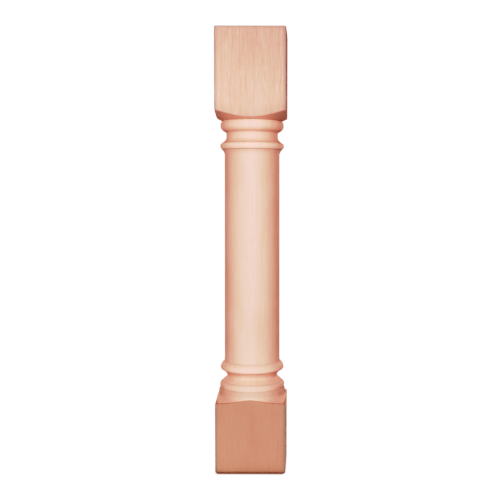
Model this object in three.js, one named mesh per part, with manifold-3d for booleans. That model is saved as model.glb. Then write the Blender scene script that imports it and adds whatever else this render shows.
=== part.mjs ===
// A turned wooden baluster, made from one square bar. A plain square block is left at each end,
// and the stretch between them is turned round on a lathe: a tall plain shaft between a group of
// mouldings under the head block and another over the foot block. The turned shoulders cut each
// block off in shallow arches.
//
// Millimetres, +Z up. The origin is the middle of the underside, and the blocks face X and Y.

import * as THREE from "three";
import { mergeVertices } from "three/addons/utils/BufferGeometryUtils.js";
import Module from "manifold-3d";

// The square bar
const height = 876;
const blockWidth = 140;
const arrisRadius = 3.5; // the eased long edges of the blocks
const endEasing = 3; // the eased edges of the two ends

// Heights of the blocks, measured along a corner
const footBlockHeight = 138.5;
const headBlockHeight = 160;

// Foot mouldings, in order from the foot block up to the shaft
const footFlareRise = 13;
const footFlareRadius = 67.8;
const footShoulderHeight = 9.5;
const footShoulderRadius = 64.8;
const baseBeadLowerHeight = 4.5;
const baseBeadRadius = 65.6;
const baseBeadUpperHeight = 7.5;
const baseBeadTopRadius = 61.8;
const footNeckSlopeHeight = 9.2;
const footNeckRadius = 51;
const footNeckHeight = 2.5;
const footCoveUpperHeight = 11.5;
const collarFootRadius = 61.3;
const collarLowerHeight = 4.5;
const collarRadius = 64.2;
const collarUpperHeight = 13;
const collarTopRadius = 56.9;
const footCavettoHeight = 10;

// The shaft, which fills whatever height the rest leaves
const shaftFootRadius = 55.9;
const shaftHeadRadius = 55.3;

// Head mouldings, in order from the head block down to the shaft. The shoulder is a plain cone.
const headShoulderDrop = 18.4;
const headShoulderRadius = 60.6;
const headBeadUpperHeight = 10;
const headBeadRadius = 63.8;
const headBeadLowerHeight = 10.7;
const headBeadFootRadius = 56.6;
const headCoveUpperHeight = 4.6;
const headNeckRadius = 52;
const headNeckHeight = 7.3;
const headCoveLowerHeight = 10.7;
const ringTopRadius = 60.3;
const ringUpperHeight = 5.4;
const ringRadius = 64.4;
const ringLowerHeight = 8;
const ringFootRadius = 60.6;
const headCavettoHeight = 11.5;

// How full each curve is: it runs along the post for this share of its height, then bends off
const footFlareFullness = 1;
const footShoulderFullness = 0.5;
const beadFullness = 0.6;
const coveFullness = 0.5;
const cavettoFullness = 0.5;

// Fineness of the facets
const turnSteps = 48;
const curveSteps = 4;
const arrisSteps = 4;

// The lathe form runs past the bar on every side, so that only the bar ends and flanks it
const overrun = 5;
const overrunRadius = (blockWidth / 2) * Math.SQRT2 + overrun;

// Adds a curve from the profile's last point to (radius, z). At one end it runs straight along
// the post, as at the nose of a bead or the wall of a neck: its start if startsStraight, or else
// its end.
function curveTo(profile, radius, z, fullness, startsStraight) {
  const start = profile.at(-1);
  const end = new THREE.Vector2(radius, z);
  const [straight, bent] = startsStraight ? [start, end] : [end, start];
  const control = new THREE.Vector2(straight.x, THREE.MathUtils.lerp(straight.y, bent.y, fullness));
  const curve = new THREE.QuadraticBezierCurve(start, control, end);
  profile.push(...curve.getPoints(curveSteps).slice(1));
}

function lineTo(profile, radius, z) {
  profile.push(new THREE.Vector2(radius, z));
}

// Half the section of the lathe form, from below the foot up to above the head.
function turningProfile() {
  const cornerRadius = (blockWidth / 2) * Math.SQRT2;
  const profile = [new THREE.Vector2(0, -overrun)];
  lineTo(profile, overrunRadius, -overrun);
  lineTo(profile, overrunRadius, footBlockHeight);
  lineTo(profile, cornerRadius, footBlockHeight);

  let z = footBlockHeight + footFlareRise;
  curveTo(profile, footFlareRadius, z, footFlareFullness, false);
  z += footShoulderHeight;
  curveTo(profile, footShoulderRadius, z, footShoulderFullness, true);
  z += baseBeadLowerHeight;
  curveTo(profile, baseBeadRadius, z, beadFullness, false);
  z += baseBeadUpperHeight;
  curveTo(profile, baseBeadTopRadius, z, beadFullness, true);
  z += footNeckSlopeHeight;
  lineTo(profile, footNeckRadius, z);
  z += footNeckHeight;
  lineTo(profile, footNeckRadius, z);
  z += footCoveUpperHeight;
  curveTo(profile, collarFootRadius, z, coveFullness, true);
  z += collarLowerHeight;
  curveTo(profile, collarRadius, z, beadFullness, false);
  z += collarUpperHeight;
  curveTo(profile, collarTopRadius, z, beadFullness, true);
  z += footCavettoHeight;
  curveTo(profile, shaftFootRadius, z, cavettoFullness, false);

  // The head's mouldings keep their place under the head block
  const headMouldings =
    headShoulderDrop + headBeadUpperHeight + headBeadLowerHeight + headCoveUpperHeight +
    headNeckHeight + headCoveLowerHeight + ringUpperHeight + ringLowerHeight + headCavettoHeight;
  z = height - headBlockHeight - headMouldings;
  lineTo(profile, shaftHeadRadius, z);
  z += headCavettoHeight;
  curveTo(profile, ringFootRadius, z, cavettoFullness, true);
  z += ringLowerHeight;
  curveTo(profile, ringRadius, z, beadFullness, false);
  z += ringUpperHeight;
  curveTo(profile, ringTopRadius, z, beadFullness, true);
  z += headCoveLowerHeight;
  curveTo(profile, headNeckRadius, z, coveFullness, false);
  z += headNeckHeight;
  lineTo(profile, headNeckRadius, z);
  z += headCoveUpperHeight;
  curveTo(profile, headBeadFootRadius, z, coveFullness, true);
  z += headBeadLowerHeight;
  curveTo(profile, headBeadRadius, z, beadFullness, false);
  z += headBeadUpperHeight;
  curveTo(profile, headShoulderRadius, z, beadFullness, true);
  z += headShoulderDrop;
  lineTo(profile, cornerRadius, z);
  lineTo(profile, overrunRadius, z);
  lineTo(profile, overrunRadius, height + overrun);
  lineTo(profile, 0, height + overrun);
  return profile;
}

function turnedForm() {
  return new THREE.LatheGeometry(turningProfile(), turnSteps).rotateX(Math.PI / 2);
}

// The square bar, with its long edges and its end edges eased.
function squareBar() {
  const half = blockWidth / 2;
  const flat = half - arrisRadius;
  const section = new THREE.Shape();
  const corners = [[1, 1], [-1, 1], [-1, -1], [1, -1]];
  corners.forEach(([x, y], i) => {
    const startAngle = (i * Math.PI) / 2;
    section.absarc(x * flat, y * flat, arrisRadius, startAngle, startAngle + Math.PI / 2, false);
  });
  section.closePath();
  return new THREE.ExtrudeGeometry(section, {
    depth: height - 2 * endEasing,
    curveSegments: arrisSteps,
    bevelThickness: endEasing,
    bevelSize: endEasing,
    bevelOffset: -endEasing,
    bevelSegments: 3,
  }).translate(0, 0, endEasing);
}

const wasm = await Module();
wasm.setup();

// A closed geometry as a solid, with its shared vertices merged and its collapsed faces dropped.
function solidOf(geometry) {
  const bare = geometry.index ? geometry.toNonIndexed() : geometry.clone();
  bare.deleteAttribute("normal");
  bare.deleteAttribute("uv");
  const merged = mergeVertices(bare, 1e-3);
  const index = merged.index.array;
  const kept = [];
  for (let i = 0; i < index.length; i += 3) {
    const [a, b, c] = [index[i], index[i + 1], index[i + 2]];
    if (a !== b && b !== c && c !== a) kept.push(a, b, c);
  }
  return new wasm.Manifold(new wasm.Mesh({
    numProp: 3,
    vertProperties: new Float32Array(merged.attributes.position.array),
    triVerts: new Uint32Array(kept),
  }));
}

function geometryOf(solid) {
  const { vertProperties, triVerts } = solid.getMesh();
  const geometry = new THREE.BufferGeometry();
  geometry.setAttribute("position", new THREE.BufferAttribute(vertProperties, 3));
  geometry.setIndex(new THREE.BufferAttribute(triVerts, 1));
  return geometry;
}

const post = solidOf(squareBar()).intersect(solidOf(turnedForm()));

const wood = new THREE.MeshStandardMaterial({ color: 0xdcae8f, roughness: 0.55, metalness: 0 });
const baluster = new THREE.Mesh(geometryOf(post), wood);
baluster.name = "baluster";

const part = new THREE.Group();
part.add(baluster);

export default part;
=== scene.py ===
# %% [markdown]
# # A turned wooden baluster
# One square bar of pale, pinkish wood was put in a lathe. The turner left a square block at each
# end and cut everything between them round: a plain shaft, with a few rings and hollows at the
# top and the bottom of it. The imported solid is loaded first, and everything below is measured
# from its box, in metres, with the floor at z = 0.

# %% Load the frame
import math

import bpy
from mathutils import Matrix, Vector


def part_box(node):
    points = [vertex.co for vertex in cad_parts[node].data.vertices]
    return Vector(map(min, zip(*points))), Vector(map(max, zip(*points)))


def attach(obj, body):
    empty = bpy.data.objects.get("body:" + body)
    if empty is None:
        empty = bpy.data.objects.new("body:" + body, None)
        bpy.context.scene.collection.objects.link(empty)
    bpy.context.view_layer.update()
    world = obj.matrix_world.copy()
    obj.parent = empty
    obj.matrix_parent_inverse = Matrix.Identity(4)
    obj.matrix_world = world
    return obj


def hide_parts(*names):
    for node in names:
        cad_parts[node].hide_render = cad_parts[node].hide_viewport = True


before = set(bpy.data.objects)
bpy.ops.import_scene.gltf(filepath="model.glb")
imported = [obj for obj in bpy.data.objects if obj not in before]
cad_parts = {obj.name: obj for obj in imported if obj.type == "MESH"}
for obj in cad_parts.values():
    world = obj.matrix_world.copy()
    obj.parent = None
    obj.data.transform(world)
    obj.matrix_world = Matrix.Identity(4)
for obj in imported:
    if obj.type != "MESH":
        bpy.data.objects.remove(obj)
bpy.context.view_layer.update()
low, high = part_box("baluster")
POST_HEIGHT = high.z - low.z
HALF_BAR = (high.x - low.x) / 2
print("post height %.3f m, bar %.3f m wide" % (POST_HEIGHT, 2 * HALF_BAR))

# %% [markdown]
# ## The camera
# A long lens stands a little above the middle of the post and a little to its right, and looks
# slightly down. It faces the front of the blocks squarely, so their top edge stays level, and a
# sliver of the right side still shows. That takes a sideways shift of the lens, as on a view
# camera: turning the camera towards the post would tip the level edges. Its place was worked out
# from the corners of the blocks and the curve of the rings.

# %% Camera
CAMERA_PLACE = (0.1042, -1.8072, 0.5512)
CAMERA_PITCH = math.radians(3.549)
CAMERA_ROLL = math.radians(-0.20)
CAMERA_LENS = 64.26
LENS_SHIFT = -0.1075

camera_data = bpy.data.cameras.new("camera")
camera_data.lens = CAMERA_LENS
camera_data.shift_x = LENS_SHIFT
camera_data.clip_end = 100
camera = bpy.data.objects.new("camera", camera_data)
camera.location = CAMERA_PLACE
camera.rotation_euler = (math.pi / 2 - CAMERA_PITCH, CAMERA_ROLL, 0)
bpy.context.scene.collection.objects.link(camera)
bpy.context.scene.camera = camera
print("camera %.2f m from the post" % math.hypot(*CAMERA_PLACE[:2]))

# %% [markdown]
# ## The sizes of the turning
# A turner works from a story stick: a strip of wood with the place of each ring marked along it
# and the diameter written beside it. These are the same numbers, as radii and as the height of
# each member. The foot's members are listed going up from the foot block. The head's are listed
# going down from the head block, and the plain shaft takes up what is left.

# %% Story stick
MM = 0.001

FOOT_BLOCK = 138.5 * MM
FOOT_FLARE_RISE, FOOT_FLARE_RADIUS = 13.0 * MM, 67.8 * MM
FOOT_SHOULDER_HEIGHT, FOOT_SHOULDER_RADIUS = 9.5 * MM, 64.8 * MM
BASE_BEAD_LOWER, BASE_BEAD_UPPER = 4.5 * MM, 7.5 * MM
BASE_BEAD_RADIUS, BASE_BEAD_TOP = 65.6 * MM, 61.8 * MM
FOOT_NECK_SLOPE, FOOT_NECK, FOOT_COVE_UPPER = 9.2 * MM, 2.5 * MM, 11.5 * MM
FOOT_NECK_RADIUS = 51.0 * MM
COLLAR_FOOT, COLLAR_RADIUS, COLLAR_TOP = 61.3 * MM, 64.2 * MM, 56.9 * MM
COLLAR_LOWER, COLLAR_UPPER = 4.5 * MM, 13.0 * MM
FOOT_CAVETTO = 10.0 * MM

SHAFT_FOOT_RADIUS = 55.9 * MM
SHAFT_HEAD_RADIUS = 55.3 * MM

HEAD_BLOCK = 160.0 * MM
HEAD_SHOULDER_DROP = 18.4 * MM
HEAD_SHOULDER_RADIUS = 60.6 * MM
HEAD_BEAD_UPPER, HEAD_BEAD_LOWER = 10.0 * MM, 10.7 * MM
HEAD_BEAD_RADIUS, HEAD_BEAD_FOOT = 63.8 * MM, 56.6 * MM
HEAD_COVE_UPPER, HEAD_NECK, HEAD_COVE_LOWER = 4.6 * MM, 7.3 * MM, 10.7 * MM
HEAD_NECK_RADIUS = 52.0 * MM
RING_TOP, RING_RADIUS, RING_FOOT = 60.3 * MM, 64.4 * MM, 60.6 * MM
RING_UPPER, RING_LOWER = 5.4 * MM, 8.0 * MM
HEAD_CAVETTO = 11.5 * MM

CORNER_RADIUS = HALF_BAR * math.sqrt(2)
ARRIS_RADIUS = 3.5 * MM
FOOT_FLARE_FULLNESS, FOOT_SHOULDER_FULLNESS, HEAD_SHOULDER_FULLNESS = 1.0, 0.5, 0.0
BEAD_FULLNESS, COVE_FULLNESS, CAVETTO_FULLNESS = 0.6, 0.5, 0.5
FOOT_FLARE_TOP = FOOT_BLOCK + FOOT_FLARE_RISE
HEAD_SHOULDER_TOP = POST_HEIGHT - HEAD_BLOCK
HEAD_SHOULDER_FOOT = HEAD_SHOULDER_TOP - HEAD_SHOULDER_DROP
print("turned length %.3f m" % (HEAD_SHOULDER_TOP - FOOT_BLOCK))

# %% [markdown]
# ## The profile
# The profile is a chain of stations, from the middle of the underside, up one corner of the post,
# to the middle of the top. Each member between two corners of the profile is one bent stretch. A
# bead, a cove or a shoulder has one end that runs straight along the post, and bends away towards
# the other. Each station also carries three marks: how much its ring of edges is softened, how dark
# the painted shade in the crease there is, and how much paler or darker the wood is painted. A
# cutting tool leaves a crisp line where two members meet, and the shade in it is painted as a dark
# line. The proud rings are painted paler than the hollows and the shoulders, as light and shade
# would leave them.

# %% Profile stations
CURVE_STATIONS = 8
SHAFT_STATIONS = 10
BLOCK_STATIONS = 7
END_STATIONS = 3
PLAIN = (1.0, 1.0)


class Station:
    """One ring of the post: its radius and height at a corner, and its three marks."""

    def __init__(self, radius, height, tone=1.0):
        self.radius, self.height, self.tone = radius, height, tone
        self.soften, self.crease = 0.0, 0.0


def line_to(chain, radius, height, steps=1, tones=PLAIN):
    """Adds a straight stretch from the last station, whose tone runs from one to the other."""
    start = chain[-1]
    for i in range(1, steps + 1):
        share = i / steps
        chain.append(Station(start.radius + (radius - start.radius) * share,
                             start.height + (height - start.height) * share,
                             tones[0] + (tones[1] - tones[0]) * share))


def curve_to(chain, radius, height, fullness, starts_straight, tones=PLAIN):
    """Adds a curve that runs along the post at its start, or else at its end."""
    start = chain[-1]
    straight, bent = (start.height, height) if starts_straight else (height, start.height)
    control_radius = start.radius if starts_straight else radius
    control_height = straight + (bent - straight) * fullness
    for i in range(1, CURVE_STATIONS + 1):
        t = i / CURVE_STATIONS
        a, b, c = (1 - t) ** 2, 2 * t * (1 - t), t * t
        chain.append(Station(a * start.radius + b * control_radius + c * radius,
                             a * start.height + b * control_height + c * height,
                             tones[0] + (tones[1] - tones[0]) * t))


def mark(chain, soften, crease):
    """Marks the last station as a corner of the profile."""
    chain[-1].soften, chain[-1].crease = soften, crease


# %% [markdown]
# The chain starts in the middle of the underside, goes out to the corner and climbs the foot block.
# A station 5 mm from the rim on either side keeps the rim's dark line of painted shade and its
# softening narrow. Above the block come the foot's members, each with the height that it takes up.
# Their tones were set by comparing renders with the photograph: the proud rings a little paler, the
# shoulders a little darker, the flare paler near the block where it runs out nearly flat, and the
# shaft a little darker low down. These tones are painted light and shade.

# %% Foot stations
END_SOFTEN, BLOCK_SOFTEN, MEMBER_SOFTEN = 1.0, 0.3, 0.12
# Painted shade: how dark each crease and the rims of the two ends are made.
DARK_CREASE_SHADE, FAINT_CREASE_SHADE = 1.0, 0.45
HEAD_RIM_SHADE, FOOT_RIM_SHADE = 1.3, 0.1
# Painted light and shade: one pair of tones for each member.
RING_TONES, BEAD_TONES = (1.20, 1.20), (1.08, 1.08)
COLLAR_TONES, NECK_TONES, BASE_TONES = (1.10, 1.10), (1.06, 1.06), (1.04, 1.04)
FOOT_FLARE_TONES, FOOT_SHOULDER_TONES = (1.15, 0.84), (0.84, 0.82)
SHAFT_TONES, HEAD_SHOULDER_TONES = (0.96, 1.00), (0.80, 0.84)
RIM = 5.0 * MM

chain = [Station(0, 0)]
line_to(chain, CORNER_RADIUS - RIM, 0, END_STATIONS)
line_to(chain, CORNER_RADIUS, 0)
mark(chain, END_SOFTEN, FOOT_RIM_SHADE)
line_to(chain, CORNER_RADIUS, RIM)
line_to(chain, CORNER_RADIUS, FOOT_BLOCK, BLOCK_STATIONS)
mark(chain, BLOCK_SOFTEN, 0)
z = FOOT_FLARE_TOP
curve_to(chain, FOOT_FLARE_RADIUS, z, FOOT_FLARE_FULLNESS, False, FOOT_FLARE_TONES)
z += FOOT_SHOULDER_HEIGHT
curve_to(chain, FOOT_SHOULDER_RADIUS, z, FOOT_SHOULDER_FULLNESS, True, FOOT_SHOULDER_TONES)
mark(chain, MEMBER_SOFTEN, FAINT_CREASE_SHADE)
z += BASE_BEAD_LOWER
curve_to(chain, BASE_BEAD_RADIUS, z, BEAD_FULLNESS, False, BASE_TONES)
z += BASE_BEAD_UPPER
curve_to(chain, BASE_BEAD_TOP, z, BEAD_FULLNESS, True, BASE_TONES)
mark(chain, MEMBER_SOFTEN, FAINT_CREASE_SHADE)
z += FOOT_NECK_SLOPE
line_to(chain, FOOT_NECK_RADIUS, z, CURVE_STATIONS, NECK_TONES)
z += FOOT_NECK
line_to(chain, FOOT_NECK_RADIUS, z)
z += FOOT_COVE_UPPER
curve_to(chain, COLLAR_FOOT, z, COVE_FULLNESS, True)
mark(chain, MEMBER_SOFTEN, DARK_CREASE_SHADE)
z += COLLAR_LOWER
curve_to(chain, COLLAR_RADIUS, z, BEAD_FULLNESS, False, COLLAR_TONES)
z += COLLAR_UPPER
curve_to(chain, COLLAR_TOP, z, BEAD_FULLNESS, True, COLLAR_TONES)
mark(chain, MEMBER_SOFTEN, FAINT_CREASE_SHADE)
z += FOOT_CAVETTO
curve_to(chain, SHAFT_FOOT_RADIUS, z, CAVETTO_FULLNESS, False)
print("foot members end at %.4f m" % z)

# %% [markdown]
# The shaft runs straight up from there, very slightly slimmer towards its head. The head's members
# take up exactly what lies between it and the head block, and then the block is climbed to its
# rim. The chain ends in the middle of the top.

# %% Shaft and head stations
head_members = (HEAD_BEAD_UPPER, HEAD_BEAD_LOWER, HEAD_COVE_UPPER, HEAD_NECK, HEAD_COVE_LOWER,
                RING_UPPER, RING_LOWER, HEAD_CAVETTO)
z = HEAD_SHOULDER_FOOT - sum(head_members)
line_to(chain, SHAFT_HEAD_RADIUS, z, SHAFT_STATIONS, SHAFT_TONES)
print("shaft ends at %.4f m" % z)
z += HEAD_CAVETTO
curve_to(chain, RING_FOOT, z, CAVETTO_FULLNESS, True)
mark(chain, MEMBER_SOFTEN, DARK_CREASE_SHADE)
z += RING_LOWER
curve_to(chain, RING_RADIUS, z, BEAD_FULLNESS, False, RING_TONES)
z += RING_UPPER
curve_to(chain, RING_TOP, z, BEAD_FULLNESS, True, RING_TONES)
mark(chain, MEMBER_SOFTEN, DARK_CREASE_SHADE)
z += HEAD_COVE_LOWER
curve_to(chain, HEAD_NECK_RADIUS, z, COVE_FULLNESS, False, BEAD_TONES)
z += HEAD_NECK
line_to(chain, HEAD_NECK_RADIUS, z)
z += HEAD_COVE_UPPER
curve_to(chain, HEAD_BEAD_FOOT, z, COVE_FULLNESS, True)
mark(chain, MEMBER_SOFTEN, FAINT_CREASE_SHADE)
z += HEAD_BEAD_LOWER
curve_to(chain, HEAD_BEAD_RADIUS, z, BEAD_FULLNESS, False, BEAD_TONES)
z += HEAD_BEAD_UPPER
curve_to(chain, HEAD_SHOULDER_RADIUS, z, BEAD_FULLNESS, True, BEAD_TONES)
mark(chain, MEMBER_SOFTEN, DARK_CREASE_SHADE)
z = HEAD_SHOULDER_TOP
curve_to(chain, CORNER_RADIUS, z, HEAD_SHOULDER_FULLNESS, True, HEAD_SHOULDER_TONES)
mark(chain, BLOCK_SOFTEN, 0)
line_to(chain, CORNER_RADIUS, POST_HEIGHT - RIM, BLOCK_STATIONS)
line_to(chain, CORNER_RADIUS, POST_HEIGHT)
mark(chain, END_SOFTEN, HEAD_RIM_SHADE)
line_to(chain, CORNER_RADIUS - RIM, POST_HEIGHT)
line_to(chain, 0, POST_HEIGHT, END_STATIONS)
print("profile of %d stations" % len(chain))

# %% [markdown]
# The chain becomes a small mesh of loose points, which is how Geometry Nodes can take it in. X is
# the radius, Z the height, and the three marks are point attributes.

# %% Profile mesh
profile_mesh = bpy.data.meshes.new("turning_profile")
profile_mesh.from_pydata([(s.radius, 0, s.height) for s in chain], [], [])
for mark_name in ("soften", "crease", "tone"):
    marks = profile_mesh.attributes.new(mark_name, "FLOAT", "POINT")
    marks.data.foreach_set("value", [getattr(s, mark_name) for s in chain])
post_maker = bpy.data.objects.new("post_maker", profile_mesh)
bpy.context.scene.collection.objects.link(post_maker)
print("profile mesh of %d points" % len(profile_mesh.vertices))

# %% [markdown]
# ## Helpers for node trees
# Every tree below is written with three small helpers. One sets or links a socket, one adds a
# node, and one adds a Math node and hands back its answer, so a formula reads from the inside out.


# %% Node helpers
def join(tree, value, socket):
    """Links value to the socket if it is a socket too, and otherwise sets it."""
    if isinstance(value, bpy.types.NodeSocket):
        tree.links.new(value, socket)
    else:
        socket.default_value = value


def add_node(tree, kind, inputs=None, **options):
    """Adds a node with these options and these inputs, given by name or number."""
    made = tree.nodes.new(kind)
    for name, value in options.items():
        setattr(made, name, value)
    for key, value in (inputs or {}).items():
        join(tree, value, made.inputs[key])
    return made


def calc(tree, operation, *values):
    """Adds a Math node and returns its answer."""
    made = tree.nodes.new("ShaderNodeMath")
    made.operation = operation
    for socket, value in zip(made.inputs, values):
        join(tree, value, socket)
    return made.outputs[0]


def named_inputs(tree, sockets):
    """Gives the tree its named inputs and returns the node that they come out of."""
    for name, kind in sockets.items():
        tree.interface.new_socket(name, in_out="INPUT", socket_type="NodeSocket" + kind)
    return tree.nodes.new("NodeGroupInput")


def pick(tree, test, if_no, if_yes):
    """Returns one of two numbers, by a test that is 0 or 1."""
    chosen = add_node(tree, "ShaderNodeMix", {"Factor": test, "A": if_no, "B": if_yes})
    return chosen.outputs["Result"]


# %% [markdown]
# ## The rule of a shoulder
# A shoulder is turned until the tool clears the bar's flat faces. Where the face lies nearer the
# middle than the corner does, the shoulder reaches it sooner, so the edge between them dips in a
# shallow arch. The group gives the height of a shoulder at any radius. It is the same bent curve
# as in the profile, solved for its radius.

# %% Shoulder group
shoulder = bpy.data.node_groups.new("shoulder_height", "GeometryNodeTree")
given = named_inputs(shoulder, {"Radius": "Float", "Inner radius": "Float", "Inner height": "Float",
                                "Corner radius": "Float", "Corner height": "Float",
                                "Fullness": "Float"}).outputs
shoulder.interface.new_socket("Height", in_out="OUTPUT", socket_type="NodeSocketFloat")
out_from = calc(shoulder, "SUBTRACT", given["Radius"], given["Inner radius"])
full_width = calc(shoulder, "SUBTRACT", given["Corner radius"], given["Inner radius"])
along = calc(shoulder, "SQRT", calc(shoulder, "DIVIDE", out_from, full_width))
back = calc(shoulder, "SUBTRACT", 1.0, along)
bend = calc(shoulder, "MULTIPLY", calc(shoulder, "MULTIPLY", along, back), 2.0)
rise_share = calc(shoulder, "MULTIPLY_ADD", bend, given["Fullness"],
                  calc(shoulder, "MULTIPLY", along, along))
full_rise = calc(shoulder, "SUBTRACT", given["Corner height"], given["Inner height"])
shoulder_height = calc(shoulder, "MULTIPLY_ADD", rise_share, full_rise, given["Inner height"])
add_node(shoulder, "NodeGroupOutput", {"Height": shoulder_height})
print("shoulder group of %d nodes" % len(shoulder.nodes))

# %% [markdown]
# ## The post as a Geometry Nodes tree
# A boolean could cut a lathed form out of a box, but it leaves ragged triangles along the arched
# edges, which shade badly and can't be softened evenly. This tree starts from a flat grid, one
# column of points for each direction round the post and one row for each station. It then rolls
# the grid up. Every column climbs the bar's face to its own crease, goes in along the shoulder,
# follows the turned profile and comes out again, so a clean row of edges runs along each arch.

# %% Post tree and its inputs
post_tree = bpy.data.node_groups.new("turned_post", "GeometryNodeTree")
sizes = named_inputs(post_tree, {
    "Profile": "Geometry", "Columns per face": "Int", "Columns per corner": "Int",
    "Half bar": "Float", "Corner radius": "Float", "Arris radius": "Float", "Height": "Float",
    "Foot corner height": "Float", "Foot inner height": "Float", "Foot inner radius": "Float",
    "Foot fullness": "Float",
    "Head corner height": "Float", "Head inner height": "Float", "Head inner radius": "Float",
    "Head fullness": "Float", "Wood": "Material"}).outputs
post_tree.interface.new_socket("Post", in_out="OUTPUT", socket_type="NodeSocketGeometry")


def formula(operation, *values):
    """A Math node in the post's tree."""
    return calc(post_tree, operation, *values)


print("post tree with %d sockets" % len(post_tree.interface.items_tree))

# %% [markdown]
# The grid has one more column than the post has directions: the last one comes round to lie on
# the first, and they are merged in the end. Each point notes its own column and station before it
# moves, as its place in the flat grid is all that tells it apart.

# %% Grid of columns and stations
quadrant = formula("ADD", sizes["Columns per face"], sizes["Columns per corner"])
columns = formula("MULTIPLY", quadrant, 4.0)
profile_size = add_node(post_tree, "GeometryNodeAttributeDomainSize",
                        {"Geometry": sizes["Profile"]}, component="MESH")
stations = profile_size.outputs["Point Count"]
last_station = formula("SUBTRACT", stations, 1.0)
grid = add_node(post_tree, "GeometryNodeMeshGrid", {
    "Size X": columns, "Size Y": last_station,
    "Vertices X": formula("ADD", columns, 1.0), "Vertices Y": stations})
place = add_node(post_tree, "ShaderNodeSeparateXYZ",
                 {0: add_node(post_tree, "GeometryNodeInputPosition").outputs[0]})
column_now = formula("ROUND", formula("MULTIPLY_ADD", columns, 0.5, place.outputs["X"]))
station_now = formula("ROUND", formula("MULTIPLY_ADD", last_station, 0.5, place.outputs["Y"]))
numbered = add_node(post_tree, "GeometryNodeCaptureAttribute", {"Geometry": grid.outputs["Mesh"]},
                    domain="POINT")
for item_name, number in (("Column", column_now), ("Station", station_now)):
    numbered.capture_items.new("FLOAT", item_name)
    post_tree.links.new(number, numbered.inputs[item_name])
column, station = numbered.outputs["Column"], numbered.outputs["Station"]
print("%d nodes for the numbered grid" % len(post_tree.nodes))

# %% [markdown]
# Most columns share out the flat of a face evenly, and a few close ones go round each eased
# corner. The bar's reach is how far its surface is from the axis in a column's direction: along
# the flat it is the half width over a cosine, and round the corner it is where the ray leaves the
# small circle of the arris.

# %% Direction and reach of each column
in_quadrant = formula("FLOORED_MODULO", column, quadrant)
quarter_turns = formula("FLOOR", formula("DIVIDE", column, quadrant))
flat_half = formula("SUBTRACT", sizes["Half bar"], sizes["Arris radius"])
flat_angle = formula("ARCTAN2", flat_half, sizes["Half bar"])
minus_flat_angle = formula("MULTIPLY", flat_angle, -1.0)
next_face_angle = formula("SUBTRACT", math.pi / 2, flat_angle)
across_face = add_node(post_tree, "ShaderNodeMapRange", {
    "Value": in_quadrant, "From Min": 0.0, "From Max": sizes["Columns per face"],
    "To Min": minus_flat_angle, "To Max": flat_angle}).outputs["Result"]
round_corner = add_node(post_tree, "ShaderNodeMapRange", {
    "Value": in_quadrant, "From Min": sizes["Columns per face"], "From Max": quadrant,
    "To Min": flat_angle, "To Max": next_face_angle}).outputs["Result"]
on_corner = formula("GREATER_THAN", in_quadrant, sizes["Columns per face"])
face_turn = pick(post_tree, on_corner, across_face, round_corner)
direction = formula("MULTIPLY_ADD", quarter_turns, math.pi / 2, face_turn)

flat_reach = formula("DIVIDE", sizes["Half bar"], formula("COSINE", face_turn))
from_corner = formula("SUBTRACT", face_turn, math.pi / 4)
arris_centre = formula("MULTIPLY", flat_half, math.sqrt(2))
off_centre = formula("MULTIPLY", arris_centre, formula("SINE", from_corner))
arris_depth = formula("SQRT", formula("SUBTRACT", formula("POWER", sizes["Arris radius"], 2.0),
                                      formula("MULTIPLY", off_centre, off_centre)))
arris_reach = formula("MULTIPLY_ADD", arris_centre, formula("COSINE", from_corner), arris_depth)
reach = pick(post_tree, on_corner, flat_reach, arris_reach)
print("%d nodes once each column has its reach" % len(post_tree.nodes))


# %% [markdown]
# Each station's radius and height are read from the profile. On a block the radius is a share of
# the bar's reach. On a shoulder it runs from the inner radius out to the reach, and the height
# comes from the shoulder's rule. The block's stations are then spread between the crease and the
# end of the post, so they stay in order under the arch.

# %% Station read from the profile
def from_profile(kind, value):
    """The profile's value at this point's station."""
    return add_node(post_tree, "GeometryNodeSampleIndex", {
        "Geometry": sizes["Profile"], "Value": value, "Index": station},
        data_type=kind, domain="POINT").outputs[0]


def profile_mark(name):
    """One of the marks that the profile's stations carry."""
    found = add_node(post_tree, "GeometryNodeInputNamedAttribute", {"Name": name},
                     data_type="FLOAT")
    return from_profile("FLOAT", found.outputs["Attribute"])


sampled = from_profile("FLOAT_VECTOR", add_node(post_tree, "GeometryNodeInputPosition").outputs[0])
drawn = add_node(post_tree, "ShaderNodeSeparateXYZ", {0: sampled}).outputs
drawn_radius, drawn_height = drawn["X"], drawn["Z"]


def shoulder_at(radius, end):
    """The height of the foot's or the head's shoulder at a radius."""
    return add_node(post_tree, "GeometryNodeGroup", {
        "Radius": radius, "Inner radius": sizes[end + " inner radius"],
        "Inner height": sizes[end + " inner height"], "Corner radius": sizes["Corner radius"],
        "Corner height": sizes[end + " corner height"], "Fullness": sizes[end + " fullness"],
    }, node_tree=shoulder).outputs["Height"]


def shoulder_place(end):
    """Radius and height of a station on a shoulder."""
    inner = sizes[end + " inner radius"]
    share = formula("DIVIDE", formula("SUBTRACT", drawn_radius, inner),
                    formula("SUBTRACT", sizes["Corner radius"], inner))
    radius = formula("MULTIPLY_ADD", formula("SUBTRACT", reach, inner), share, inner)
    return radius, shoulder_at(radius, end)


def block_place(end, end_height):
    """Radius and height of a station on a block, whose end lies at end_height."""
    radius = formula("MULTIPLY", reach, formula("DIVIDE", drawn_radius, sizes["Corner radius"]))
    stretch = formula("DIVIDE", formula("SUBTRACT", shoulder_at(reach, end), end_height),
                      formula("SUBTRACT", sizes[end + " corner height"], end_height))
    from_end = formula("SUBTRACT", drawn_height, end_height)
    return radius, formula("MULTIPLY_ADD", from_end, stretch, end_height)


# %% [markdown]
# Now every point can find its place. One whose station belongs to a shoulder or a block takes the
# place worked out for it there, and the others keep the profile's own radius and height. Points
# that fall together, along the seam and in the middle of each end, are merged.

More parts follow.
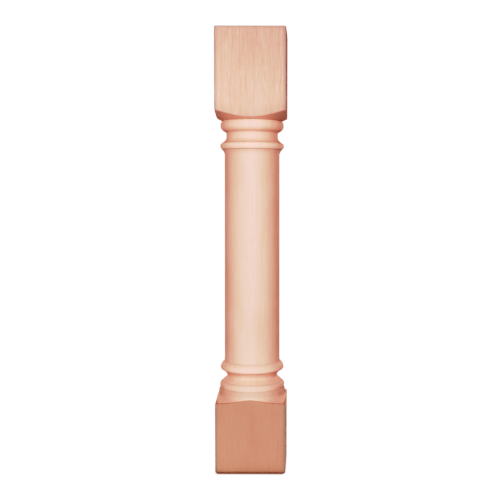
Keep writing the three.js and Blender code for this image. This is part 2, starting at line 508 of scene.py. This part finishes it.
# %% Rolling the grid up
HAIR = 1e-6
both_ends = (("Foot", 0.0, "LESS_THAN"), ("Head", sizes["Height"], "GREATER_THAN"))
radius, height = drawn_radius, drawn_height
for end, end_height, beyond in both_ends:
    slack = HAIR if end == "Foot" else -HAIR
    on_shoulder = formula(beyond, drawn_height, sizes[end + " inner height"])
    on_block = formula(beyond, drawn_height, formula("ADD", sizes[end + " corner height"], slack))
    for test, (new_radius, new_height) in ((on_shoulder, shoulder_place(end)),
                                           (on_block, block_place(end, end_height))):
        radius = pick(post_tree, test, radius, new_radius)
        height = pick(post_tree, test, height, new_height)

rolled_place = add_node(post_tree, "ShaderNodeCombineXYZ", {
    "X": formula("MULTIPLY", radius, formula("COSINE", direction)),
    "Y": formula("MULTIPLY", radius, formula("SINE", direction)),
    "Z": height}).outputs[0]
rolled = add_node(post_tree, "GeometryNodeSetPosition", {
    "Geometry": numbered.outputs["Geometry"], "Position": rolled_place})
closed = add_node(post_tree, "GeometryNodeMergeByDistance", {
    "Geometry": rolled.outputs["Geometry"], "Distance": HAIR})
print("%d nodes to roll it up" % len(post_tree.nodes))

# %% [markdown]
# The finish needs to know a few things about each spot, and the tree stores them: how dark the
# painted shade in a crease is, how much paler or darker the wood is painted, where the eased long
# edges are, which surface is turned and which is the bar's own face, and how much of it is cut
# across the grain. The weight of each ring of edges tells the Bevel modifier how much to soften it.


# %% Stored marks
def store(geometry, name, value, domain):
    """Stores a number on the mesh under a name."""
    return add_node(post_tree, "GeometryNodeStoreNamedAttribute", {
        "Geometry": geometry, "Name": name, "Value": value},
        data_type="FLOAT", domain=domain).outputs["Geometry"]


ring_edge = formula("LESS_THAN", formula("ABSOLUTE", formula("SUBTRACT", station,
                                                             formula("ROUND", station))), 0.25)
soft_weight = formula("MULTIPLY", profile_mark("soften"), ring_edge)
above_foot = formula("GREATER_THAN", drawn_height, sizes["Foot corner height"])
below_head = formula("LESS_THAN", drawn_height, sizes["Head corner height"])
surface_normal = add_node(post_tree, "ShaderNodeSeparateXYZ",
                          {0: add_node(post_tree, "GeometryNodeInputNormal").outputs[0]})

from_arris = formula("ABSOLUTE", formula("SUBTRACT", formula("ABSOLUTE", face_turn), math.pi / 4))
arris_half = formula("SUBTRACT", math.pi / 4, flat_angle)
on_arris = add_node(post_tree, "ShaderNodeMapRange", {
    "Value": from_arris,
    "From Min": arris_half, "From Max": formula("MULTIPLY", arris_half, 2.0),
    "To Min": 1.0, "To Max": 0.0}).outputs["Result"]
facing_up = formula("ABSOLUTE", surface_normal.outputs["Z"])

post_shape = closed.outputs["Geometry"]
post_shape = store(post_shape, "bevel_weight_edge", soft_weight, "EDGE")
post_shape = store(post_shape, "crease", profile_mark("crease"), "POINT")
post_shape = store(post_shape, "tone", profile_mark("tone"), "POINT")
post_shape = store(post_shape, "arris", on_arris, "POINT")
post_shape = store(post_shape, "turned", formula("MULTIPLY", above_foot, below_head), "FACE")
post_shape = store(post_shape, "end_grain", facing_up, "POINT")
smooth = add_node(post_tree, "GeometryNodeSetShadeSmooth", {"Geometry": post_shape})
realized = add_node(post_tree, "GeometryNodeRealizeInstances", {"Geometry": smooth.outputs[0]})
finished = add_node(post_tree, "GeometryNodeSetMaterial", {
    "Geometry": realized.outputs[0], "Material": sizes["Wood"]})
add_node(post_tree, "NodeGroupOutput", {"Post": finished.outputs[0]})
print("post tree of %d nodes" % len(post_tree.nodes))

# %% [markdown]
# ## The wood
# The wood is pale, close and pinkish, like beech: straight, fine grain along the post, soft
# growth rings, short flecks where the cut meets the rays, and no finish on it but sanding. An
# image could be wrapped round the post, but the grain would then run the wrong way over every
# bead. This material is solid instead. It works out what the bar is like at each point inside it,
# so the figure follows the cut as it does in real wood: lines on the front, broad figure on the
# sides, rings on the ends.

# %% Colours and scales
RIPE = (0.79, 0.412, 0.329, 1)
LATE = (0.70, 0.355, 0.278, 1)
HEART = (0.655, 0.325, 0.250, 1)
PALE = (0.84, 0.475, 0.398, 1)
FLECK_COLOUR = (0.52, 0.23, 0.16, 1)
# The next colour is painted shade, for the creases and the eased edges.
PAINTED_SHADE_COLOUR = (0.11, 0.15, 0.135, 1)
PITH = (-0.33, 0.06)
RING_SPACING = 6.5 * MM

wood = bpy.data.materials.new("sanded_wood")
wood.use_nodes = True
wood_tree = wood.node_tree
wood_tree.nodes.clear()
print("ripe wood", RIPE[:3])


# %% [markdown]
# A few more helpers keep the wood's formulas short. Every pattern starts from the place inside
# the bar, which the Texture Coordinate node calls Object, and is stretched along the grain.

# %% Wood helpers
def blend(factor, first, second, mode="MIX"):
    """Blends two colours in the wood's tree."""
    mixed = add_node(wood_tree, "ShaderNodeMix", {}, data_type="RGBA", blend_type=mode)
    join(wood_tree, factor, mixed.inputs[0])
    join(wood_tree, first, mixed.inputs[6])
    join(wood_tree, second, mixed.inputs[7])
    return mixed.outputs[2]


def wood_calc(operation, *values):
    """A Math node in the wood's tree."""
    return calc(wood_tree, operation, *values)


def stretched(across, lengthwise, shift=0.0):
    """Object coordinates scaled to so many features a metre across and along the grain."""
    return add_node(wood_tree, "ShaderNodeMapping", {
        "Vector": bar_place, "Scale": (across, across, lengthwise),
        "Location": (shift, 2 * shift, 3 * shift)}).outputs[0]


def noise(place_in, detail=2.0, roughness=0.5):
    """Noise from 0 to 1 at a place."""
    return add_node(wood_tree, "ShaderNodeTexNoise", {
        "Vector": place_in, "Scale": 1.0, "Detail": detail, "Roughness": roughness}).outputs["Fac"]


def ramp(value, low_in, high_in, low_out=0.0, high_out=1.0):
    """Maps a value smoothly from one range to another, and holds it at the ends."""
    return add_node(wood_tree, "ShaderNodeMapRange", {
        "Value": value, "From Min": low_in, "From Max": high_in,
        "To Min": low_out, "To Max": high_out}, interpolation_type="SMOOTHSTEP").outputs["Result"]


def stored(name):
    """A mark that the post's tree stored on the mesh."""
    return add_node(wood_tree, "ShaderNodeAttribute", attribute_name=name).outputs["Fac"]


bar_place = add_node(wood_tree, "ShaderNodeTexCoord").outputs["Object"]
bar_axes = add_node(wood_tree, "ShaderNodeSeparateXYZ", {0: bar_place}).outputs

# %% [markdown]
# The growth rings are circles round a pith that lay well outside the bar. Their distance from it
# is stirred by long, slow noise, because a tree is never quite round. Each year's ring darkens
# slowly and ends at once, and the next one starts pale.

# %% Growth rings
WANDER = 45.0 * MM
YEAR_CHANGE = 2.0

wander = noise(stretched(14.0, 2.5), detail=3.0)
side_from_pith = wood_calc("SUBTRACT", bar_axes["X"], PITH[0])
back_from_pith = wood_calc("SUBTRACT", bar_axes["Y"], PITH[1])
from_pith = wood_calc("SQRT", wood_calc("MULTIPLY_ADD", side_from_pith, side_from_pith,
                                        wood_calc("MULTIPLY", back_from_pith, back_from_pith)))
stirred = wood_calc("MULTIPLY_ADD", wander, WANDER, from_pith)
ring_count = wood_calc("DIVIDE", stirred, RING_SPACING)
year = wood_calc("FRACT", ring_count)
late_wood = wood_calc("MULTIPLY", ramp(year, 0.25, 0.92), ramp(year, 1.0, 0.90))
year_place = add_node(wood_tree, "ShaderNodeCombineXYZ", {
    "X": wood_calc("FLOOR", ring_count), "Z": wood_calc("MULTIPLY", bar_axes["Z"], YEAR_CHANGE)})
year_tone = noise(year_place.outputs[0])
print("rings %.1f mm apart" % (RING_SPACING / MM))

# %% [markdown]
# Along the grain run fibres: long soft streaks a few millimetres wide, finer ones between them,
# and short, thin flecks. Slow patches, warmer or paler, lie over all of it. On this post the
# figure is lively in the head block and much plainer below it, so its strength follows the height.

# %% Fibres, flecks and patches
wide_streaks = noise(stretched(190.0, 9.0, 3.1), detail=2.0)
short_streaks = noise(stretched(420.0, 40.0, 7.7), detail=2.0)
fine_streaks = noise(stretched(1100.0, 60.0, 4.3), detail=1.0)
flecks = ramp(noise(stretched(900.0, 170.0, 1.3), detail=1.0), 0.64, 0.74)
patches = noise(stretched(18.0, 9.0, 2.2), detail=3.0)

up_the_post = wood_calc("DIVIDE", bar_axes["Z"], POST_HEIGHT)
figure = ramp(up_the_post, 0.78, 0.84, 0.45, 1.0)


def figured(value, low_in, high_in, strength):
    """How much of a feature shows: none at one value, and all that the figure allows at another."""
    return wood_calc("MULTIPLY", ramp(value, low_in, high_in, 0.0, strength), figure)


wood_colour = blend(figured(late_wood, 0.0, 1.0, 0.45), RIPE, LATE)
wood_colour = blend(figured(year_tone, 0.3, 0.7, 0.25), wood_colour, PALE)
wood_colour = blend(figured(wide_streaks, 0.42, 0.68, 0.45), wood_colour, HEART)
wood_colour = blend(figured(short_streaks, 0.52, 0.70, 0.75), wood_colour, PALE)
wood_colour = blend(figured(short_streaks, 0.46, 0.30, 0.30), wood_colour, HEART)
wood_colour = blend(ramp(patches, 0.42, 0.70, 0.0, 0.36), wood_colour, HEART)
wood_colour = blend(figured(flecks, 0.0, 1.0, 0.30), wood_colour, FLECK_COLOUR)
print("figure of %d nodes" % len(wood_tree.nodes))

# %% [markdown]
# In the photograph the bar's own faces are darker than the turned wood, most of all at the foot,
# and the head block is paler towards its left. The faces are made so here, the paling to the left
# growing with the height. Why is a guess: wood that was planed long before the turning would have
# darkened in the air, and one side may have stood nearer to a window. The tones were set by
# comparing renders with the photograph, and some of this may be light and shade too. The two
# sides, hardly seen there, are made less dark low down, which is painted light. The tone that each
# member carries from the profile is multiplied in after that.

# %% Darkened faces
FACE_TONES = ((0.00, (0.550, 0.550, 0.494)), (0.16, (0.500, 0.497, 0.445)),
              (0.80, (0.915, 0.865, 0.872)), (0.91, (0.795, 0.735, 0.735)),
              (1.00, (0.705, 0.655, 0.660)))
LEFTWARD_PALING = 0.84
SIDE_DEPTH, SIDE_PAINTED_LIGHT = 2.5 * MM, 1.0

face_tone = add_node(wood_tree, "ShaderNodeValToRGB", {"Fac": up_the_post})
stops = face_tone.color_ramp.elements
stops[0].position, stops[1].position = FACE_TONES[0][0], FACE_TONES[-1][0]
for share, _ in FACE_TONES[1:-1]:
    stops.new(share)
for stop, (share, tone) in zip(stops, FACE_TONES):
    stop.color = (*tone, 1)

bar_face = wood_calc("SUBTRACT", 1.0, stored("turned"))
from_middle = wood_calc("ABSOLUTE", bar_axes["X"])
# Painted light: the two sides are made less dark, more so low down.
sides = ramp(from_middle, HALF_BAR - SIDE_DEPTH, HALF_BAR, 0.0, SIDE_PAINTED_LIGHT)
side_painted_light = wood_calc("MULTIPLY", sides, wood_calc("SUBTRACT", 1.0, up_the_post))
darkened = wood_calc("MULTIPLY", bar_face, wood_calc("SUBTRACT", 1.0, side_painted_light))
sideways = wood_calc("MULTIPLY", bar_axes["X"], up_the_post)
leftward_paling = wood_calc("MULTIPLY_ADD", sideways, -LEFTWARD_PALING, 1.0)
leftward_paling_colour = add_node(wood_tree, "ShaderNodeCombineColor",
                           {"Red": leftward_paling, "Green": leftward_paling, "Blue": leftward_paling}).outputs[0]
bar_face_tone = blend(1.0, face_tone.outputs["Color"], leftward_paling_colour, "MULTIPLY")
wood_colour = blend(darkened, wood_colour, bar_face_tone, "MULTIPLY")
# The tones that the members carry from the profile are painted light and shade.
member_tone = stored("tone")
member_colour = add_node(wood_tree, "ShaderNodeCombineColor",
                         {"Red": member_tone, "Green": member_tone, "Blue": member_tone}).outputs[0]
wood_colour = blend(1.0, wood_colour, member_colour, "MULTIPLY")
print("%d tones up the post" % len(stops))

# %% [markdown]
# Cutting across the grain opens the ends of the fibres, and they look darker and redder, so the two
# ends are made so here. Last come thin dark lines in the creases, on the rims of the two ends and
# along the eased edges of the blocks. They are painted shade, where the light falls off into a
# crease or round an edge.

# %% End grain and painted shade
# Painted shade in the creases, on the rims and along the eased edges of the blocks.
SHADE_IN_CREASES, SHADE_ON_ARRISES = 0.58, 0.38

end_grain = wood_calc("MULTIPLY", ramp(stored("end_grain"), 0.60, 1.0, 0.0, 0.40), bar_face)
wood_colour = blend(end_grain, wood_colour, HEART)
on_a_side = ramp(stored("end_grain"), 0.60, 0.90, 1.0, 0.0)
arris_shade = wood_calc("MULTIPLY", wood_calc("MULTIPLY", stored("arris"), on_a_side), bar_face)
painted_shade = wood_calc("MULTIPLY", arris_shade, SHADE_ON_ARRISES)
painted_shade = wood_calc("MAXIMUM", painted_shade, wood_calc("MULTIPLY", stored("crease"), SHADE_IN_CREASES))
wood_colour = blend(painted_shade, wood_colour, PAINTED_SHADE_COLOUR)
print("colour of %d nodes" % len(wood_tree.nodes))

# %% [markdown]
# The relief is slight, and finer than the photograph can show, so it is made as such wood usually
# has it. Fibres and pores stand a few hundredths of a millimetre proud or hollow, and the round
# parts keep the faint rings of the last scraper cut. Sanding leaves the surface silky, a little
# shinier where it was turned.

# %% Relief and shine
TOOL_MARK_PITCH = 1.3 * MM
RELIEF_DEPTH, RELIEF_STRENGTH = 0.1 * MM, 0.25

tool_marks = wood_calc("SINE", wood_calc("MULTIPLY", bar_axes["Z"], 2 * math.pi / TOOL_MARK_PITCH))
mark_depth = wood_calc("MULTIPLY", stored("turned"), ramp(patches, 0.35, 0.75, 0.05, 0.20))
relief = wood_calc("MULTIPLY", tool_marks, mark_depth)
relief = wood_calc("ADD", relief, wood_calc("MULTIPLY", fine_streaks, 0.8))
relief = wood_calc("SUBTRACT", relief, wood_calc("MULTIPLY", flecks, 0.5))
bump = add_node(wood_tree, "ShaderNodeBump", {
    "Height": relief, "Strength": RELIEF_STRENGTH, "Distance": RELIEF_DEPTH})

sheen = ramp(fine_streaks, 0.3, 0.7, 0.58, 0.70)
sheen = wood_calc("MULTIPLY_ADD", bar_face, 0.08, sheen)
wood_surface = add_node(wood_tree, "ShaderNodeBsdfPrincipled", {
    "Base Color": wood_colour, "Roughness": sheen, "Normal": bump.outputs[0], "IOR": 1.5})
add_node(wood_tree, "ShaderNodeOutputMaterial", {"Surface": wood_surface.outputs[0]})
print("wood of %d nodes" % len(wood_tree.nodes))

# %% [markdown]
# ## Turning the post
# The tree goes on the profile object as a modifier, with its inputs set by their identifiers. A
# Bevel modifier after it softens the marked edges, as a moment's sanding does. The result is then
# taken as a plain mesh of its own, and the maker is thrown away.

# %% Make the piece
COLUMNS_PER_FACE, COLUMNS_PER_CORNER = 48, 8
SOFTENING = 3.0 * MM

turning = post_maker.modifiers.new("turning", "NODES")
turning.node_group = post_tree
values = {
    "Columns per face": COLUMNS_PER_FACE, "Columns per corner": COLUMNS_PER_CORNER,
    "Half bar": HALF_BAR, "Corner radius": CORNER_RADIUS, "Arris radius": ARRIS_RADIUS,
    "Height": POST_HEIGHT,
    "Foot corner height": FOOT_BLOCK, "Foot inner height": FOOT_FLARE_TOP,
    "Foot inner radius": FOOT_FLARE_RADIUS, "Foot fullness": FOOT_FLARE_FULLNESS,
    "Head corner height": HEAD_SHOULDER_TOP, "Head inner height": HEAD_SHOULDER_FOOT,
    "Head inner radius": HEAD_SHOULDER_RADIUS, "Head fullness": HEAD_SHOULDER_FULLNESS,
    "Wood": wood}
identifiers = {item.name: item.identifier for item in post_tree.interface.items_tree
               if item.in_out == "INPUT"}
for name, value in values.items():
    turning[identifiers[name]] = value

softening = post_maker.modifiers.new("softening", "BEVEL")
softening.limit_method = "WEIGHT"
softening.width = SOFTENING
softening.segments = 3
softening.use_clamp_overlap = False

evaluated = post_maker.evaluated_get(bpy.context.evaluated_depsgraph_get())
post_mesh = bpy.data.meshes.new_from_object(evaluated)
post_mesh.name = "turned_post"
post = bpy.data.objects.new("turned_post", post_mesh)
bpy.context.scene.collection.objects.link(post)
bpy.data.objects.remove(post_maker)
post_mesh.calc_loop_triangles()
print("turned_post: %d vertices, %d triangles" % (len(post_mesh.vertices),
                                                  len(post_mesh.loop_triangles)))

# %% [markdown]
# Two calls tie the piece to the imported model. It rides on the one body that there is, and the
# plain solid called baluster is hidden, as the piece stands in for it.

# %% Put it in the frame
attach(post, "root")
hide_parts("baluster")
print("%s takes the place of baluster" % post.name)

# %% [markdown]
# ## The stage
# The post stands on plain white paper. A studio would hang a roll of it and curve it up behind
# the object. One flat sheet that runs off as far as can be seen does the same here, and it looks
# the same from every side.

# %% Floor
FLOOR_REACH = 40.0
SHADE_INSET = (9.0 * MM, 3.0 * MM)
SHADE_WIDTH = (12.0 * MM, 18.0 * MM)
SHADE_CORE = 0.35
CONTACT_SHADE = (0.22, 0.11, 0.08, 1)
PAPER_GLOW = 1.05

floor_mesh = bpy.data.meshes.new("floor")
floor_corners = [(-FLOOR_REACH, -FLOOR_REACH, 0), (FLOOR_REACH, -FLOOR_REACH, 0),
                 (FLOOR_REACH, FLOOR_REACH, 0), (-FLOOR_REACH, FLOOR_REACH, 0)]
floor_mesh.from_pydata(floor_corners, [], [(0, 1, 2, 3)])
floor = bpy.data.objects.new("floor", floor_mesh)
bpy.context.scene.collection.objects.link(floor)
print("floor %.0f m across" % (2 * FLOOR_REACH))

# %% [markdown]
# The paper glows a little, so that it stays white far behind the post. A glow casts no shadow, so
# the thin dark line where the block meets the paper is made here: the glow fades towards the
# square of the block's foot, over a centimetre or two, and a little further in front of it than
# at its sides.

# %% Paper
paper = bpy.data.materials.new("white_paper")
paper.use_nodes = True
paper_tree = paper.node_tree
paper_surface = paper_tree.nodes["Principled BSDF"]
paper_place = add_node(paper_tree, "ShaderNodeTexCoord").outputs["Object"]
paper_axes = add_node(paper_tree, "ShaderNodeSeparateXYZ", {0: paper_place}).outputs
outward = []
for axis, inset, width in zip("XY", SHADE_INSET, SHADE_WIDTH):
    beyond = calc(paper_tree, "SUBTRACT", calc(paper_tree, "ABSOLUTE", paper_axes[axis]),
                  HALF_BAR - inset)
    share = calc(paper_tree, "DIVIDE", calc(paper_tree, "MAXIMUM", beyond, 0.0), width)
    outward.append(calc(paper_tree, "MULTIPLY", share, share))
gap = calc(paper_tree, "SQRT", calc(paper_tree, "ADD", *outward))
opened = add_node(paper_tree, "ShaderNodeMapRange", {
    "Value": gap, "From Min": SHADE_CORE, "From Max": 1.0}, interpolation_type="SMOOTHSTEP")
glow = add_node(paper_tree, "ShaderNodeMix", data_type="RGBA")
for socket, value in ((0, opened.outputs["Result"]), (6, CONTACT_SHADE), (7, (1, 1, 1, 1))):
    join(paper_tree, value, glow.inputs[socket])
paper_tree.links.new(glow.outputs[2], paper_surface.inputs["Emission Color"])
paper_surface.inputs["Emission Strength"].default_value = PAPER_GLOW
paper_surface.inputs["Base Color"].default_value = (0, 0, 0, 1)
paper_surface.inputs["Roughness"].default_value = 1.0
paper_surface.inputs["Specular IOR Level"].default_value = 0.0
floor_mesh.materials.append(paper)
floor.visible_diffuse = False
floor.visible_glossy = False
print("paper of %d nodes" % len(paper_tree.nodes))


# %% [markdown]
# A soft box stands straight in front of the post, behind the camera and a little above it. It
# leaves the sides of the shaft in shade, and that is what makes it look round. Weak lamps fill in
# from the left and from the upper right, another stands for the light that the paper throws back
# up, and one in front, high up, just catches the tops of the rings. Two more stand behind, one
# on each side, for whoever walks round the post, and a small one hangs over its top. Even
# unpolished wood shines at a grazing angle, so the two behind would draw a white line round the
# post. They are hidden from glossy rays, and only their soft light is left. The lamps in front
# were placed by rendering them one at a time and weighing their sum against the photograph.

# %% Lights
def soft_box(name, place_at, aim, width, tall, watts, shines=True):
    """A rectangular area light that looks from its place towards a point.

    One that doesn't shine is left out of reflections.
    """
    light_data = bpy.data.lights.new(name, "AREA")
    light_data.shape = "RECTANGLE"
    light_data.size, light_data.size_y = width, tall
    light_data.energy = watts
    light = bpy.data.objects.new(name, light_data)
    light.location = place_at
    light.rotation_euler = (aim - light.location).to_track_quat("-Z", "Y").to_euler()
    light.visible_camera = False
    light.visible_glossy = shines
    bpy.context.scene.collection.objects.link(light)


middle = (low + high) / 2
soft_box("key_light", (0.0, -2.3, 0.9), middle, 0.5, 0.5, 28.0)
soft_box("top_light", (0.0, -1.2, 2.6), middle, 0.7, 0.7, 2.0)
soft_box("left_fill", (-0.87, -2.07, 1.0), middle, 0.5, 0.9, 9.0)
soft_box("upper_right_fill", (1.0, -1.8, 1.8), middle, 0.5, 0.5, 7.0)
soft_box("paper_bounce", (0.0, -1.2, 0.001), Vector((0.0, -1.2, 1.0)), 2.24, 2.24, 8.0)
soft_box("back_left_light", (-1.15, 2.0, 0.6), middle, 0.5, 0.7, 38.0, shines=False)
soft_box("back_right_light", (1.15, 2.0, 0.6), middle, 0.5, 0.7, 40.0, shines=False)
soft_box("overhead_light", (0.0, 0.01, 2.4), middle, 0.1, 0.1, 16.0)
print("%d lamps" % len(bpy.data.lights))

# %% [markdown]
# The world is white where the camera looks straight at it, and nearly dark as a light, so that
# the lamps alone shape the post.

# %% World
WORLD_LIGHT = 0.02
WHITE = (1, 1, 1, 1)

world = bpy.data.worlds.new("studio")
bpy.context.scene.world = world
world.use_nodes = True
world_tree = world.node_tree
world_tree.nodes.clear()
seen = add_node(world_tree, "ShaderNodeLightPath").outputs["Is Camera Ray"]
dim_grey = add_node(world_tree, "ShaderNodeBackground", {"Color": WHITE, "Strength": WORLD_LIGHT})
white = add_node(world_tree, "ShaderNodeBackground", {"Color": WHITE, "Strength": PAPER_GLOW})
sky = add_node(world_tree, "ShaderNodeMixShader", {0: seen, 1: dim_grey.outputs[0],
                                                   2: white.outputs[0]})
add_node(world_tree, "ShaderNodeOutputWorld", {"Surface": sky.outputs[0]})
print("world of %d nodes" % len(world_tree.nodes))

# %% [markdown]
# ## The film
# The photograph looks contrasty: its shades are deep and rich, its middle is steep and its lights
# roll off to white, as on some films. A tone curve on all three channels does the same to the
# render. It follows a curve that was fitted to the photograph together with the lamps, and was
# drawn again in as few points as keep its shape.

# %% Tone curve
TONES = ((0, 0), (0.06, 0.03), (0.10, 0.07), (0.16, 0.18), (0.25, 0.37), (0.38, 0.63),
         (0.55, 0.75), (1, 1))

view = bpy.context.scene.view_settings
view.view_transform = "Standard"
view.use_curve_mapping = True
film = view.curve_mapping
film_curve = film.curves[3]
for point, tone_pair in zip((film_curve.points[0], film_curve.points[1]), (TONES[0], TONES[-1])):
    point.location = tone_pair
for light_in, light_out in TONES[1:-1]:
    film_curve.points.new(light_in, light_out)
film.update()
print("tone curve of %d points" % len(film_curve.points))
